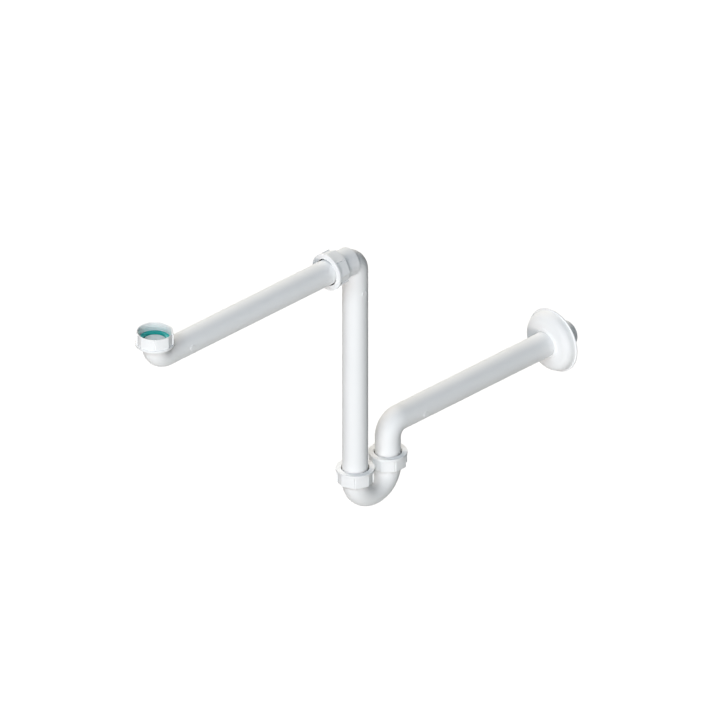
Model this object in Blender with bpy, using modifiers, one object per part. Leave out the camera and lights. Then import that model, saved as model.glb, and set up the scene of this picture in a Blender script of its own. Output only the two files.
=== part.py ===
"""Space saving sink trap for a DN 32 basin waste, modelled in metres with +Z up.

The inlet stands over the origin, which is the centre of the inlet washer's top face.
The down pipe stands further along +Y, and the outlet pipe runs on along +Y to the wall.
Every joint is drawn hand tight, with the pipe ends part of the way into their sockets.
"""

import math

import bmesh
import bpy
from mathutils import Matrix

MM = 0.001

# Clearances
SEAT_GAP = 0.3 * MM
SLIDING_FIT = 0.35 * MM
THREAD_CLEARANCE = 0.4 * MM
NUT_TO_PIPE = 1.25 * MM
NUT_TO_NUT = 8.3 * MM
CUT_OVERRUN = 2.0 * MM

# Pipes
PIPE_RADIUS = 16.0 * MM
PIPE_WALL = 1.8 * MM
PIPE_TIP_CHAMFER = 0.8 * MM
PIPE_SIDES = 32
BORE_SIDES = 24

# Lengths of the three legs
INLET_TO_DOWN_PIPE = 346.0 * MM
INLET_AXIS_ABOVE_OUTLET_AXIS = 255.2 * MM
OUTLET_REACH = 312.4 * MM
TRAP_ARC_BELOW_OUTLET_AXIS = 57.2 * MM

# Elbows and the trap bend, by the radius in the crook of each elbow
INLET_CROOK_RADIUS = 2.5 * MM
TOP_CROOK_RADIUS = 0.8 * MM
OUTLET_CROOK_RADIUS = 3.0 * MM
ELBOW_STEPS = 8
TRAP_PIPE_STEP = 0.4 * MM
TRAP_ARC_STEPS = 12

# Threaded sockets
SOCKET_WALL = 4.15 * MM
SOCKET_LIP = 0.7 * MM
SOCKET_CONE_DEPTH = 5.5 * MM
SLEEVE_STEP = 2.2 * MM
SLEEVE_PAST_BEND_START = 7.0 * MM
ELBOW_SOCKET_DEPTH = 26.7 * MM
ELBOW_STOP_BEFORE_BEND = 0.7 * MM
ELBOW_THREAD_LENGTH = 10.8 * MM
ELBOW_PIPE_END_TO_STOP = 6.5 * MM
TRAP_SOCKET_DEPTH = 9.6 * MM
TRAP_SOCKET_FLOOR = 1.8 * MM
TRAP_CUP_ABOVE_ARC = 0.4 * MM
TRAP_PIPE_END_TO_STOP = 1.6 * MM

# Union nuts, G 1 1/4
NUT_HEIGHT = 18.0 * MM
NUT_WEB = 2.4 * MM
NUT_WALL = 1.4 * MM
NUT_MOUTH_CHAMFER = 0.6 * MM
NUT_FLANGE_WIDTH = 1.8 * MM
NUT_FLANGE_HEIGHT = 3.2 * MM
NUT_EDGE_CHAMFER = 0.5 * MM
NUT_RIDGE_HEIGHT = 1.3 * MM
NUT_PAD_CORNER_HEIGHT = 1.7 * MM
NUT_FACE_CROWN = 0.6 * MM
NUT_PADS = 3
NUT_PAD_HALF_ANGLE = math.radians(46.0)
NUT_GROOVE_DEPTH = 0.5 * MM
NUT_GROOVE_HALF_ANGLE = math.radians(1.5)
NUT_FACE_STEPS = 3
NUT_RECESS_STEPS = 2
NUT_STEPS = 36

# Slip rings and cone seals
SLIP_RING_HEIGHT = 1.4 * MM
SLIP_RING_CLEARANCE = 0.6 * MM
SEAL_HEAD_CLEARANCE = 0.9 * MM
SEAL_HEAD_HEIGHT = 1.1 * MM
SEAL_CONE_END_WALL = 0.6 * MM
RING_STEPS = 36

# Inlet neck, washer and the inlet nut's place
WASHER_HEIGHT = 3.5 * MM
WASHER_CLEARANCE = 1.9 * MM
WASHER_LAP_INTO_BORE = 0.2 * MM
WASHER_EDGE = 0.4 * MM
NECK_FLANGE_HEIGHT = 2.3 * MM
NECK_FLANGE_CLEARANCE = 1.3 * MM
INLET_BEND_BELOW_NUT = 1.3 * MM

# Wall rosette
ROSETTE_BEFORE_PIPE_END = 26.1 * MM
ROSETTE_DEPTH = 15.6 * MM
ROSETTE_WALL = 1.5 * MM
ROSETTE_RIM_WIDTH = 2.7 * MM
ROSETTE_LIP_WIDTH = 1.0 * MM
ROSETTE_FILLET_RADIUS = 3.6 * MM
ROSETTE_FILLET_STEPS = 3
ROSETTE_SHOULDER_RADIUS = 10.6 * MM
ROSETTE_SHOULDER_STEPS = 5
ROSETTE_SIDE_DRAFT = math.radians(8.0)
ROSETTE_FACE_DEPTH = 2.0 * MM
ROSETTE_SIDE_RADIUS = 38.8 * MM
ROSETTE_STEPS = 36

# Radii that follow from the sizes above
BORE_RADIUS = PIPE_RADIUS - PIPE_WALL
SLIDING_RADIUS = PIPE_RADIUS + SLIDING_FIT
SLEEVE_RADIUS = PIPE_RADIUS + SLEEVE_STEP
TRAP_PIPE_RADIUS = PIPE_RADIUS + TRAP_PIPE_STEP
TRAP_BORE_RADIUS = TRAP_PIPE_RADIUS - PIPE_WALL
INLET_ELBOW_RADIUS = PIPE_RADIUS + INLET_CROOK_RADIUS
TOP_ELBOW_RADIUS = PIPE_RADIUS + TOP_CROOK_RADIUS
OUTLET_ELBOW_RADIUS = PIPE_RADIUS + OUTLET_CROOK_RADIUS
THREAD_RADIUS = SLIDING_RADIUS + SOCKET_WALL
SOCKET_MOUTH_RADIUS = THREAD_RADIUS - SOCKET_LIP
SOCKET_CONE_SLOPE = (SOCKET_MOUTH_RADIUS - SLIDING_RADIUS) / SOCKET_CONE_DEPTH
NUT_HOLE_RADIUS = PIPE_RADIUS + NUT_TO_PIPE
NUT_BORE_RADIUS = THREAD_RADIUS + THREAD_CLEARANCE
NUT_RECESS_RADIUS = NUT_BORE_RADIUS + NUT_WALL
NUT_RIDGE_RADIUS = NUT_RECESS_RADIUS + NUT_RIDGE_HEIGHT
NUT_PAD_CORNER_RADIUS = NUT_RECESS_RADIUS + NUT_PAD_CORNER_HEIGHT
NUT_FLANGE_RADIUS = NUT_RECESS_RADIUS + NUT_FLANGE_WIDTH
SLIP_RING_OUTER_RADIUS = NUT_BORE_RADIUS - SLIP_RING_CLEARANCE
SEAL_HEAD_RADIUS = NUT_BORE_RADIUS - SEAL_HEAD_CLEARANCE
WASHER_RADIUS = NUT_BORE_RADIUS - WASHER_CLEARANCE
WASHER_HOLE_RADIUS = BORE_RADIUS - WASHER_LAP_INTO_BORE
NECK_FLANGE_RADIUS = NUT_BORE_RADIUS - NECK_FLANGE_CLEARANCE
ROSETTE_RIM_RADIUS = ROSETTE_SIDE_RADIUS + ROSETTE_RIM_WIDTH

# How the slip ring, the seal and the socket follow each other inside a nut
SLIP_RING_FROM_NUT_FACE = NUT_WEB + SEAT_GAP
SEAL_FROM_NUT_FACE = SLIP_RING_FROM_NUT_FACE + SLIP_RING_HEIGHT + SEAT_GAP
SOCKET_MOUTH_FROM_NUT_FACE = SEAL_FROM_NUT_FACE + SEAL_HEAD_HEIGHT + SEAT_GAP

# Places, from the washer's top face downwards and from the inlet towards the wall
NECK_TOP_Z = -WASHER_HEIGHT - SEAT_GAP
INLET_NUT_Z = NECK_TOP_Z - NECK_FLANGE_HEIGHT - SEAT_GAP - NUT_WEB
INLET_AXIS_Z = INLET_NUT_Z - INLET_BEND_BELOW_NUT - INLET_ELBOW_RADIUS
OUTLET_AXIS_Z = INLET_AXIS_Z - INLET_AXIS_ABOVE_OUTLET_AXIS
TRAP_ARC_Z = OUTLET_AXIS_Z - TRAP_ARC_BELOW_OUTLET_AXIS
TRAP_CUP_FLOOR_Z = TRAP_ARC_Z + TRAP_CUP_ABOVE_ARC
TRAP_STOP_Z = TRAP_CUP_FLOOR_Z + TRAP_SOCKET_FLOOR
TRAP_MOUTH_Z = TRAP_STOP_Z + TRAP_SOCKET_DEPTH
TRAP_NUT_Z = TRAP_MOUTH_Z + SOCKET_MOUTH_FROM_NUT_FACE
TRAP_PIPE_END_Z = TRAP_STOP_Z + TRAP_PIPE_END_TO_STOP
TOP_BEND_Y = INLET_TO_DOWN_PIPE - TOP_ELBOW_RADIUS
ELBOW_STOP_Y = TOP_BEND_Y - ELBOW_STOP_BEFORE_BEND
ELBOW_MOUTH_Y = ELBOW_STOP_Y - ELBOW_SOCKET_DEPTH
ELBOW_NUT_Y = ELBOW_MOUTH_Y - SOCKET_MOUTH_FROM_NUT_FACE
TRAP_ARC_RADIUS = NUT_FLANGE_RADIUS + NUT_TO_NUT / 2
OUTLET_Y = INLET_TO_DOWN_PIPE + 2 * TRAP_ARC_RADIUS
PIPE_END_Y = OUTLET_Y + OUTLET_REACH
ROSETTE_RIM_Y = PIPE_END_Y - ROSETTE_BEFORE_PIPE_END

# Edges sharper than this stay sharp in the shading
SHARP_EDGE_ANGLE = math.radians(30.0)

# Directions in which a turned or extruded piece is laid down
FACING_UP = Matrix.Identity(4)
FACING_DOWN = Matrix.Rotation(math.pi, 4, "X")
FACING_WALL = Matrix.Rotation(-math.pi / 2, 4, "X")

# Turn of each nut about its own axis, as the photograph shows its grip pads
INLET_NUT_TURN = math.radians(-45.0)
ELBOW_NUT_TURN = math.radians(-49.0)
TRAP_INLET_NUT_TURN = math.radians(45.0)
TRAP_OUTLET_NUT_TURN = math.radians(21.4)


def collection(name):
    """Return a new collection linked to the scene."""
    made = bpy.data.collections.new(name)
    bpy.context.scene.collection.children.link(made)
    return made


def clear_scene():
    """Remove every object and every collection of the open scene."""
    for thing in list(bpy.data.objects):
        bpy.data.objects.remove(thing, do_unlink=True)
    for group in list(bpy.data.collections):
        bpy.data.collections.remove(group)


def plastic(name, colour, roughness):
    """Return a Principled material for one sub-part."""
    made = bpy.data.materials.new(name)
    made.use_nodes = True
    shader = made.node_tree.nodes["Principled BSDF"]
    shader.inputs["Base Color"].default_value = (*colour, 1.0)
    shader.inputs["Roughness"].default_value = roughness
    shader.inputs["Metallic"].default_value = 0.0
    made.diffuse_color = (*colour, 1.0)
    return made


def add_object(name, data, place, group):
    """Put mesh or curve data into the scene at a place."""
    made = bpy.data.objects.new(name, data)
    made.matrix_world = place
    group.objects.link(made)
    return made


def as_tool(piece):
    """Mark an object as one that only cuts or joins."""
    piece.hide_render = True
    piece.display_type = "WIRE"
    return piece


def turned(name, profile, steps, place, group, closed=True):
    """Revolve a profile of (radius, height) points about the local Z axis.

    The profile runs down its outer side. A closed one makes a ring, and an open one
    either ends on the axis or is left as a surface.
    """
    mesh = bpy.data.meshes.new(name)
    count = len(profile)
    edges = [(index, index + 1) for index in range(count - 1)]
    if closed:
        edges.append((count - 1, 0))
    mesh.from_pydata([(radius, 0.0, height) for radius, height in profile], edges, [])
    made = add_object(name, mesh, place, group)
    screw = made.modifiers.new("Turn", "SCREW")
    screw.angle = 2 * math.pi
    screw.steps = steps
    screw.render_steps = steps
    screw.use_merge_vertices = True
    screw.merge_threshold = 0.01 * MM
    screw.use_smooth_shade = False
    return made


def mesh_from_curve(curve_object, group):
    """Replace a curve object by a closed mesh object of the same name and place."""
    name = curve_object.name
    place = curve_object.matrix_world.copy()
    bpy.context.view_layer.update()
    evaluated = curve_object.evaluated_get(bpy.context.evaluated_depsgraph_get())
    mesh = bpy.data.meshes.new_from_object(evaluated)
    welder = bmesh.new()
    welder.from_mesh(mesh)
    bmesh.ops.remove_doubles(welder, verts=welder.verts, dist=0.01 * MM)
    bmesh.ops.recalc_face_normals(welder, faces=welder.faces)
    welder.to_mesh(mesh)
    welder.free()
    bpy.data.objects.remove(curve_object, do_unlink=True)
    return add_object(name, mesh, place, group)


def bent_rod(name, route, radius, sides, group, tip_chamfers=(0.0, 0.0), origin=(0.0, 0.0)):
    """Make a solid round rod along a route of (y, z) points in the YZ plane.

    The origin is the point of that plane that the object turns about or slides from.
    """
    curve = bpy.data.curves.new(name, "CURVE")
    curve.dimensions = "3D"
    curve.bevel_depth = radius
    curve.bevel_resolution = (sides - 4) // 2
    curve.use_fill_caps = True
    spline = curve.splines.new("POLY")
    spline.points.add(len(route) - 1)
    for point, (y, z) in zip(spline.points, route):
        point.co = (0.0, y - origin[0], z - origin[1], 1.0)
    for index, chamfer in ((0, tip_chamfers[0]), (-1, tip_chamfers[1])):
        spline.points[index].radius = 1.0 - chamfer / radius
    place = Matrix.Translation((0.0, *origin))
    return mesh_from_curve(add_object(name, curve, place, group), group)


def arc(centre, radius, start, end, steps):
    """Return the points of an arc in the YZ plane, angles counted from +Y towards +Z."""
    points = []
    for index in range(steps + 1):
        angle = start + (end - start) * index / steps
        points.append((centre[0] + radius * math.cos(angle), centre[1] + radius * math.sin(angle)))
    return points


def join(piece, other):
    """Add another solid to a piece."""
    union = piece.modifiers.new("Join " + other.name, "BOOLEAN")
    union.operation = "UNION"
    union.solver = "EXACT"
    union.object = other


def cut(piece, cutter):
    """Take a cutter's volume out of a piece."""
    difference = piece.modifiers.new("Cut " + cutter.name, "BOOLEAN")
    difference.operation = "DIFFERENCE"
    difference.solver = "EXACT"
    difference.object = cutter


def shade_round(pieces):
    """Apply the pieces' modifiers and shade them smooth, up to their sharp edges."""
    bpy.context.view_layer.update()
    scene_state = bpy.context.evaluated_depsgraph_get()
    shapes = [bpy.data.meshes.new_from_object(piece.evaluated_get(scene_state)) for piece in pieces]
    for piece, shape in zip(pieces, shapes):
        piece.modifiers.clear()
        piece.data = shape
        shape.shade_smooth()
        shape.set_sharp_from_angle(angle=SHARP_EDGE_ANGLE)


def placed(x, y, z, facing, turn=0.0):
    """Return a place with a local Z direction and a turn about it."""
    return Matrix.Translation((x, y, z)) @ facing @ Matrix.Rotation(turn, 4, "Z")


def tube_tip(end, inward):
    """Return the last two route points of a pipe end, so that its chamfer is short."""
    length = math.hypot(*inward)
    step = PIPE_TIP_CHAMFER / length
    return (end[0] + inward[0] * step, end[1] + inward[1] * step), end


def inlet_pipe_routes():
    """Return the routes of the inlet pipe's outside and of its bore."""
    centre = (INLET_ELBOW_RADIUS, INLET_AXIS_Z + INLET_ELBOW_RADIUS)
    bend = arc(centre, INLET_ELBOW_RADIUS, math.pi, 1.5 * math.pi, ELBOW_STEPS)
    end = (ELBOW_STOP_Y - ELBOW_PIPE_END_TO_STOP, INLET_AXIS_Z)
    outside = [(0.0, NECK_TOP_Z - NECK_FLANGE_HEIGHT / 2)] + bend + list(tube_tip(end, (-1.0, 0.0)))
    bore = [(0.0, NECK_TOP_Z + CUT_OVERRUN)] + bend + [(end[0] + CUT_OVERRUN, end[1])]
    return outside, bore


def inlet_pipe(group, tools, material):
    """Make the flanged neck, the inlet elbow and the long level leg in one piece."""
    outside, bore = inlet_pipe_routes()
    piece = bent_rod("inlet_pipe", outside, PIPE_RADIUS, PIPE_SIDES, group,
                     (0.0, PIPE_TIP_CHAMFER))
    flange = turned("neck_flange", [
        (0.0, NECK_TOP_Z),
        (NECK_FLANGE_RADIUS, NECK_TOP_Z),
        (NECK_FLANGE_RADIUS, NECK_TOP_Z - NECK_FLANGE_HEIGHT),
        (0.0, NECK_TOP_Z - NECK_FLANGE_HEIGHT),
    ], RING_STEPS, FACING_UP, tools, closed=False)
    cutter = bent_rod("inlet_bore", bore, BORE_RADIUS, BORE_SIDES, tools)
    join(piece, as_tool(flange))
    cut(piece, as_tool(cutter))
    piece.data.materials.append(material)
    return piece


def socket_bore_profile(depth):
    """Return the profile of a socket's inside, with its mouth at height zero."""
    return [
        (0.0, depth),
        (SLIDING_RADIUS, depth),
        (SLIDING_RADIUS, SOCKET_CONE_DEPTH),
        (SOCKET_MOUTH_RADIUS, 0.0),
        (SOCKET_MOUTH_RADIUS, -CUT_OVERRUN),
        (0.0, -CUT_OVERRUN),
    ]


def down_pipe(group, tools, material):
    """Make the threaded sleeve, the top elbow and the upright leg in one piece."""
    centre = (INLET_TO_DOWN_PIPE - TOP_ELBOW_RADIUS, INLET_AXIS_Z - TOP_ELBOW_RADIUS)
    bend = arc(centre, TOP_ELBOW_RADIUS, 0.5 * math.pi, 0.0, ELBOW_STEPS)
    end = (INLET_TO_DOWN_PIPE, TRAP_PIPE_END_Z)
    root = (ELBOW_STOP_Y - CUT_OVERRUN / 2, INLET_AXIS_Z)
    route = [root] + bend + list(tube_tip(end, (0.0, 1.0)))
    piece = bent_rod("down_pipe", route, PIPE_RADIUS, PIPE_SIDES, group,
                     (0.0, PIPE_TIP_CHAMFER), (ELBOW_MOUTH_Y, INLET_AXIS_Z))
    sleeve_length = TOP_BEND_Y + SLEEVE_PAST_BEND_START - ELBOW_MOUTH_Y
    mouth = placed(0.0, ELBOW_MOUTH_Y, INLET_AXIS_Z, FACING_WALL)
    sleeve = turned("elbow_sleeve", [
        (0.0, sleeve_length),
        (SLEEVE_RADIUS, sleeve_length),
        (SLEEVE_RADIUS, ELBOW_THREAD_LENGTH),
        (THREAD_RADIUS, ELBOW_THREAD_LENGTH),
        (THREAD_RADIUS, 0.0),
        (0.0, 0.0),
    ], RING_STEPS, mouth, tools, closed=False)
    socket = turned("elbow_socket_bore", socket_bore_profile(ELBOW_SOCKET_DEPTH), RING_STEPS,
                    mouth, tools, closed=False)
    start = (ELBOW_STOP_Y - CUT_OVERRUN, INLET_AXIS_Z)
    bore_route = [start] + bend + [(end[0], end[1] - CUT_OVERRUN)]
    bore = bent_rod("down_pipe_bore", bore_route, BORE_RADIUS, BORE_SIDES, tools)
    join(piece, as_tool(sleeve))
    cut(piece, as_tool(socket))
    cut(piece, as_tool(bore))
    piece.data.materials.append(material)
    return piece


def trap_bend(group, tools, material):
    """Make the U-bend with a threaded cup on each arm in one piece."""
    centre = (INLET_TO_DOWN_PIPE + TRAP_ARC_RADIUS, TRAP_ARC_Z)
    bend = arc(centre, TRAP_ARC_RADIUS, math.pi, 2 * math.pi, TRAP_ARC_STEPS)
    root_z = (TRAP_STOP_Z + TRAP_CUP_FLOOR_Z) / 2
    route = [(INLET_TO_DOWN_PIPE, root_z)] + bend + [(OUTLET_Y, root_z)]
    piece = bent_rod("trap_bend", route, TRAP_PIPE_RADIUS, PIPE_SIDES, group,
                     origin=(INLET_TO_DOWN_PIPE, TRAP_MOUTH_Z))
    cup_height = TRAP_MOUTH_Z - TRAP_CUP_FLOOR_Z
    cup_profile = [
        (0.0, cup_height),
        (THREAD_RADIUS, cup_height),
        (THREAD_RADIUS, 0.0),
        (0.0, 0.0),
    ]
    bore_profile = socket_bore_profile(TRAP_SOCKET_DEPTH)
    for side, y in (("inlet", INLET_TO_DOWN_PIPE), ("outlet", OUTLET_Y)):
        cup = turned("trap_%s_cup" % side, cup_profile, RING_STEPS,
                     placed(0.0, y, TRAP_CUP_FLOOR_Z, FACING_UP), tools, closed=False)
        join(piece, as_tool(cup))
    for side, y in (("inlet", INLET_TO_DOWN_PIPE), ("outlet", OUTLET_Y)):
        socket = turned("trap_%s_socket_bore" % side, bore_profile, RING_STEPS,
                        placed(0.0, y, TRAP_MOUTH_Z, FACING_DOWN), tools, closed=False)
        cut(piece, as_tool(socket))
    above = TRAP_STOP_Z + CUT_OVERRUN
    bore_route = [(INLET_TO_DOWN_PIPE, above)] + bend + [(OUTLET_Y, above)]
    bore = bent_rod("trap_bore", bore_route, TRAP_BORE_RADIUS, BORE_SIDES, tools)
    cut(piece, as_tool(bore))
    piece.data.materials.append(material)
    return piece


def outlet_pipe(group, tools, material):
    """Make the upright leg, the outlet elbow and the long leg to the wall in one piece."""
    foot = (OUTLET_Y, TRAP_PIPE_END_Z)
    end = (PIPE_END_Y, OUTLET_AXIS_Z)
    centre = (OUTLET_Y + OUTLET_ELBOW_RADIUS, OUTLET_AXIS_Z - OUTLET_ELBOW_RADIUS)
    bend = arc(centre, OUTLET_ELBOW_RADIUS, math.pi, 0.5 * math.pi, ELBOW_STEPS)
    foot_tip = list(reversed(tube_tip(foot, (0.0, 1.0))))
    route = foot_tip + bend + list(tube_tip(end, (-1.0, 0.0)))
    piece = bent_rod("outlet_pipe", route, PIPE_RADIUS, PIPE_SIDES, group,
                     (PIPE_TIP_CHAMFER, PIPE_TIP_CHAMFER), (OUTLET_Y, TRAP_MOUTH_Z))
    bore_route = [(foot[0], foot[1] - CUT_OVERRUN)] + bend + [(end[0] + CUT_OVERRUN, end[1])]
    bore = bent_rod("outlet_bore", bore_route, BORE_RADIUS, BORE_SIDES, tools)
    cut(piece, as_tool(bore))
    piece.data.materials.append(material)
    return piece


def nut_outline():
    """Return the plan of the grip pads: two crowned faces each, with recesses between."""
    pad_pitch = 2 * math.pi / NUT_PADS
    points = []
    for pad in range(NUT_PADS):
        middle = pad * pad_pitch
        for side in (-1, 1):
            face = []
            for index in range(NUT_FACE_STEPS + 1):
                share = index / NUT_FACE_STEPS
                angle = NUT_GROOVE_HALF_ANGLE + (NUT_PAD_HALF_ANGLE - NUT_GROOVE_HALF_ANGLE) * share
                face.append((nut_face_radius(angle), middle + side * angle))
            if side < 0:
                face.reverse()
                face.append((NUT_RIDGE_RADIUS - NUT_GROOVE_DEPTH, middle))
            points.extend(face)
        start = middle + NUT_PAD_HALF_ANGLE
        width = pad_pitch - 2 * NUT_PAD_HALF_ANGLE
        for index in range(NUT_RECESS_STEPS + 1):
            points.append((NUT_RECESS_RADIUS, start + width * index / NUT_RECESS_STEPS))
    return [(radius * math.cos(angle), radius * math.sin(angle)) for radius, angle in points]


def nut_face_radius(angle):
    """Return how far a pad face stands from the axis, at an angle from the pad's ridge."""
    ridge = NUT_RIDGE_RADIUS
    corner_x = NUT_PAD_CORNER_RADIUS * math.cos(NUT_PAD_HALF_ANGLE)
    corner_y = NUT_PAD_CORNER_RADIUS * math.sin(NUT_PAD_HALF_ANGLE)
    chord = math.hypot(corner_x - ridge, corner_y)
    distance = ridge * corner_y / chord
    foot_angle = math.atan2(ridge - corner_x, corner_y)
    flat = distance / math.cos(angle - foot_angle)
    share = angle / NUT_PAD_HALF_ANGLE
    return flat + NUT_FACE_CROWN * 4 * share * (1 - share)


def nut(name, place, group, tools, material):
    """Make a union nut: closed ring at local height zero, threaded mouth at the top."""
    curve = bpy.data.curves.new(name, "CURVE")
    curve.dimensions = "2D"
    curve.fill_mode = "BOTH"
    pad_bottom = NUT_FLANGE_HEIGHT / 2
    curve.extrude = (NUT_HEIGHT - pad_bottom) / 2
    outline = nut_outline()
    spline = curve.splines.new("POLY")
    spline.points.add(len(outline) - 1)
    for point, (x, y) in zip(spline.points, outline):
        point.co = (x, y, 0.0, 1.0)
    spline.use_cyclic_u = True
    middle = Matrix.Translation((0.0, 0.0, (NUT_HEIGHT + pad_bottom) / 2))
    piece = mesh_from_curve(add_object(name, curve, FACING_UP, group), group)
    piece.data.transform(middle)
    piece.matrix_world = place
    flange = turned(name + "_flange", [
        (0.0, NUT_FLANGE_HEIGHT),
        (NUT_FLANGE_RADIUS, NUT_FLANGE_HEIGHT),
        (NUT_FLANGE_RADIUS, NUT_EDGE_CHAMFER),
        (NUT_FLANGE_RADIUS - NUT_EDGE_CHAMFER, 0.0),
        (0.0, 0.0),
    ], NUT_STEPS, place, tools, closed=False)
    inside = turned(name + "_inside", [
        (0.0, NUT_HEIGHT + CUT_OVERRUN),
        (NUT_BORE_RADIUS + NUT_MOUTH_CHAMFER + CUT_OVERRUN, NUT_HEIGHT + CUT_OVERRUN),
        (NUT_BORE_RADIUS, NUT_HEIGHT - NUT_MOUTH_CHAMFER),
        (NUT_BORE_RADIUS, NUT_WEB),
        (NUT_HOLE_RADIUS, NUT_WEB),
        (NUT_HOLE_RADIUS, -CUT_OVERRUN),
        (0.0, -CUT_OVERRUN),
    ], NUT_STEPS, place, tools, closed=False)
    join(piece, as_tool(flange))
    cut(piece, as_tool(inside))
    piece.data.materials.append(material)
    return piece


def slip_ring(name, place, group, material):
    """Make the ring that keeps a turning nut from dragging on its seal."""
    low = SLIP_RING_FROM_NUT_FACE
    high = low + SLIP_RING_HEIGHT
    piece = turned(name, [
        (SLIDING_RADIUS, high),
        (SLIP_RING_OUTER_RADIUS, high),
        (SLIP_RING_OUTER_RADIUS, low),
        (SLIDING_RADIUS, low),
    ], RING_STEPS, place, group)
    piece.data.materials.append(material)
    return piece


def socket_cone_radius(height):
    """Return the radius of a socket's sealing cone, at a height above the nut's face."""
    return SOCKET_MOUTH_RADIUS - SOCKET_CONE_SLOPE * (height - SOCKET_MOUTH_FROM_NUT_FACE)


def cone_seal(name, place, group, material):
    """Make the rubber cone that a nut presses between the pipe and its socket."""
    low = SEAL_FROM_NUT_FACE
    head = low + SEAL_HEAD_HEIGHT
    side_gap = SEAT_GAP * math.hypot(1.0, SOCKET_CONE_SLOPE)
    tip_radius = SLIDING_RADIUS + SEAL_CONE_END_WALL
    cone_height = (SOCKET_MOUTH_RADIUS - side_gap - tip_radius) / SOCKET_CONE_SLOPE
    tip = SOCKET_MOUTH_FROM_NUT_FACE + cone_height
    piece = turned(name, [
        (SLIDING_RADIUS, tip),
        (tip_radius, tip),
        (socket_cone_radius(head) - side_gap, head),
        (SEAL_HEAD_RADIUS, head),
        (SEAL_HEAD_RADIUS, low),
        (SLIDING_RADIUS, low),
    ], RING_STEPS, place, group)
    piece.data.materials.append(material)
    return piece


def inlet_washer(group, material):
    """Make the flat sealing washer, with its top face at the origin."""
    piece = turned("inlet_washer", [
        (WASHER_HOLE_RADIUS, 0.0),
        (WASHER_RADIUS - WASHER_EDGE, 0.0),
        (WASHER_RADIUS, -WASHER_EDGE),
        (WASHER_RADIUS, WASHER_EDGE - WASHER_HEIGHT),
        (WASHER_RADIUS - WASHER_EDGE, -WASHER_HEIGHT),
        (WASHER_HOLE_RADIUS, -WASHER_HEIGHT),
    ], RING_STEPS, FACING_UP, group)
    piece.data.materials.append(material)
    return piece


def rosette_profile():
    """Return the bell's outer line, from the rim down to the collar round the pipe."""
    rim = ROSETTE_DEPTH
    shoulder_centre = (
        ROSETTE_SIDE_RADIUS - ROSETTE_SHOULDER_RADIUS,
        ROSETTE_FACE_DEPTH + ROSETTE_SHOULDER_RADIUS,
    )
    shoulder = arc(shoulder_centre, ROSETTE_SHOULDER_RADIUS, -ROSETTE_SIDE_DRAFT, -math.pi / 2,
                   ROSETTE_SHOULDER_STEPS)
    lip_radius = SLIDING_RADIUS + ROSETTE_LIP_WIDTH
    fillet_turn = math.acos(1.0 - ROSETTE_FACE_DEPTH / ROSETTE_FILLET_RADIUS)
    fillet_centre = (
        lip_radius + ROSETTE_FILLET_RADIUS * math.sin(fillet_turn),
        ROSETTE_FACE_DEPTH - ROSETTE_FILLET_RADIUS,
    )
    fillet = arc(fillet_centre, ROSETTE_FILLET_RADIUS, math.pi / 2, math.pi / 2 + fillet_turn,
                 ROSETTE_FILLET_STEPS)
    flange = [
        (ROSETTE_RIM_RADIUS, rim - ROSETTE_WALL),
        (ROSETTE_SIDE_RADIUS + ROSETTE_WALL / 2, rim - ROSETTE_WALL),
    ]
    return flange + shoulder + fillet + [(SLIDING_RADIUS, 0.0)]


def wall_rosette(group, material):
    """Make the bell-shaped wall cover as a thin shell, its rim towards the wall."""
    front = placed(0.0, ROSETTE_RIM_Y - ROSETTE_DEPTH, OUTLET_AXIS_Z, FACING_WALL)
    piece = turned("wall_rosette", rosette_profile(), ROSETTE_STEPS, front, group, closed=False)
    shell = piece.modifiers.new("Wall", "SOLIDIFY")
    shell.solidify_mode = "NON_MANIFOLD"
    shell.nonmanifold_thickness_mode = "CONSTRAINTS"
    shell.nonmanifold_merge_threshold = 0.01 * MM
    shell.thickness = ROSETTE_WALL
    shell.offset = -1.0
    piece.data.materials.append(material)
    return piece


def compression_joint(name, face, facing, turn, group, tools, materials):
    """Make the nut, the slip ring and the seal of one joint, from the nut's outer face."""
    place = placed(*face, facing)
    nut(name + "_nut", placed(*face, facing, turn), group, tools, materials["white"])
    slip_ring(name + "_slip_ring", place, group, materials["natural"])
    cone_seal(name + "_seal", place, group, materials["seal"])


def build():
    """Make the whole trap."""
    clear_scene()
    group = collection("space_saving_sink_trap")
    tools = collection("cutters")
    materials = {
        "white": plastic("white_polypropylene", (0.86, 0.87, 0.88), 0.35),
        "natural": plastic("natural_polyethylene", (0.82, 0.83, 0.80), 0.45),
        "seal": plastic("black_rubber", (0.03, 0.03, 0.035), 0.7),
        "teal": plastic("teal_elastomer", (0.013, 0.33, 0.30), 0.5),
    }
    inlet_pipe(group, tools, materials["white"])
    inlet_washer(group, materials["teal"])
    nut("inlet_nut", placed(0.0, 0.0, INLET_NUT_Z, FACING_UP, INLET_NUT_TURN),
        group, tools, materials["white"])
    down_pipe(group, tools, materials["white"])
    compression_joint("elbow", (0.0, ELBOW_NUT_Y, INLET_AXIS_Z), FACING_WALL, ELBOW_NUT_TURN,
                      group, tools, materials)
    trap_bend(group, tools, materials["white"])
    compression_joint("trap_inlet", (0.0, INLET_TO_DOWN_PIPE, TRAP_NUT_Z), FACING_DOWN,
                      TRAP_INLET_NUT_TURN, group, tools, materials)
    compression_joint("trap_outlet", (0.0, OUTLET_Y, TRAP_NUT_Z), FACING_DOWN,
                      TRAP_OUTLET_NUT_TURN, group, tools, materials)
    outlet_pipe(group, tools, materials["white"])
    wall_rosette(group, materials["white"])
    shade_round(list(group.objects))


build()
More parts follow.
